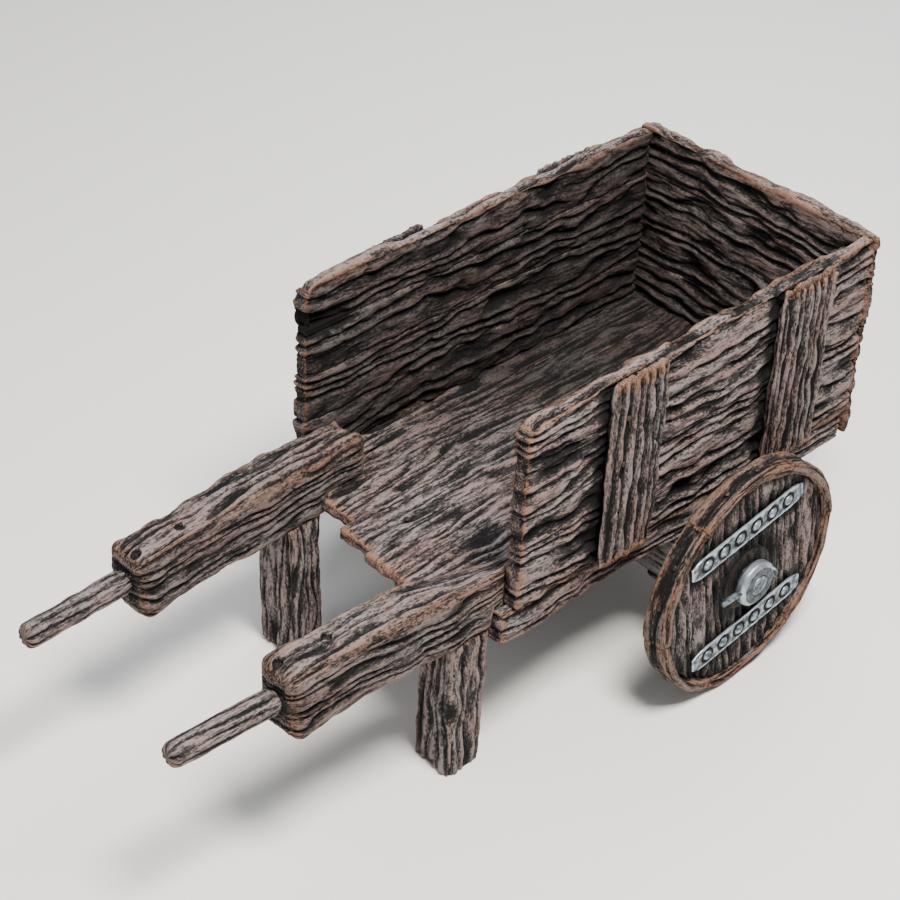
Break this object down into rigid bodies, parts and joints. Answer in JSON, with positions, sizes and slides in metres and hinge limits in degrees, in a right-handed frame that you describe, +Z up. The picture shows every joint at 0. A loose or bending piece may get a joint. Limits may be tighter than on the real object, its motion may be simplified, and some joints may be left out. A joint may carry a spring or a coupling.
{
  "type": "wheelbarrow",
  "caption": "Wooden hand barrow for carting loads: open-fronted plank box on a timber frame, stub shafts with round grips, prop legs, and iron-strapped plank wheels.",
  "frame": {"origin": "middle of the whole model's box in X and Y, on the ground it stands on", "axes": "+X from the grips towards the closed end of the box, +Y to the left of someone holding the grips, +Z up"},
  "size_m": [1.6287, 0.8982, 0.735],
  "materials": {
    "weathered_timber": "dark, deeply weathered open grain with worn pale ridges",
    "grey_timber": "bare timber weathered grey",
    "oak_peg": "dark cleft oak",
    "wrought_iron": "hammered iron, bright on its high spots",
    "bearing_iron": "dark oiled iron",
    "nail_iron": "dark rusted iron"
  },
  "bodies": {
    "frame": {"axle": "bearing_iron", "axle_bed": "grey_timber", "axle_collars": "wrought_iron", "board_nails": "nail_iron", "coach_screws": "nail_iron", "end_plank_1": "weathered_timber", "end_plank_2": "weathered_timber", "end_plank_3": "weathered_timber", "end_plank_4": "weathered_timber", "floor_plank_1": "weathered_timber", "floor_plank_2": "weathered_timber", "floor_plank_3": "weathered_timber", "floor_plank_4": "weathered_timber", "floor_plank_5": "weathered_timber", "floor_plank_6": "weathered_timber", "front_bearer": "weathered_timber", "left_front_cleat": "weathered_timber", "left_grip": "weathered_timber", "left_leg": "weathered_timber", "left_rear_cleat": "weathered_timber", "left_shaft": "weathered_timber", "left_side_plank_1": "weathered_timber", "left_side_plank_2": "weathered_timber", "left_side_plank_3": "weathered_timber", "left_side_plank_4": "weathered_timber", "left_sill": "weathered_timber", "linchpins": "wrought_iron", "middle_bearer": "weathered_timber", "oak_pegs": "oak_peg", "rear_bearer": "weathered_timber", "right_front_cleat": "weathered_timber", "right_grip": "weathered_timber", "right_leg": "weathered_timber", "right_rear_cleat": "weathered_timber", "right_shaft": "weathered_timber", "right_side_plank_1": "weathered_timber", "right_side_plank_2": "weathered_timber", "right_side_plank_3": "weathered_timber", "right_side_plank_4": "weathered_timber", "right_sill": "weathered_timber", "screw_washers": "nail_iron", "thrust_washers": "bearing_iron"},
    "left_wheel": {"left_felloe_nails": "nail_iron", "left_hub_bush": "bearing_iron", "left_nave": "weathered_timber", "left_strap_rivets": "wrought_iron", "left_wheel_board_1": "weathered_timber", "left_wheel_board_2": "weathered_timber", "left_wheel_board_3": "weathered_timber", "left_wheel_felloes": "weathered_timber", "left_wheel_straps": "wrought_iron"},
    "right_wheel": {"right_felloe_nails": "nail_iron", "right_hub_bush": "bearing_iron", "right_nave": "weathered_timber", "right_strap_rivets": "wrought_iron", "right_wheel_board_1": "weathered_timber", "right_wheel_board_2": "weathered_timber", "right_wheel_board_3": "weathered_timber", "right_wheel_felloes": "weathered_timber", "right_wheel_straps": "wrought_iron"}
  },
  "joints": [
    {"name": "left_wheel_spin", "type": "hinge", "parent": "frame", "child": "left_wheel", "pos_m": [0.3504, 0.401, 0.24], "axis": [0, 1, 0], "continuous": true},
    {"name": "right_wheel_spin", "type": "hinge", "parent": "frame", "child": "right_wheel", "pos_m": [0.3504, -0.401, 0.24], "axis": [0, 1, 0], "continuous": true}
  ]
}
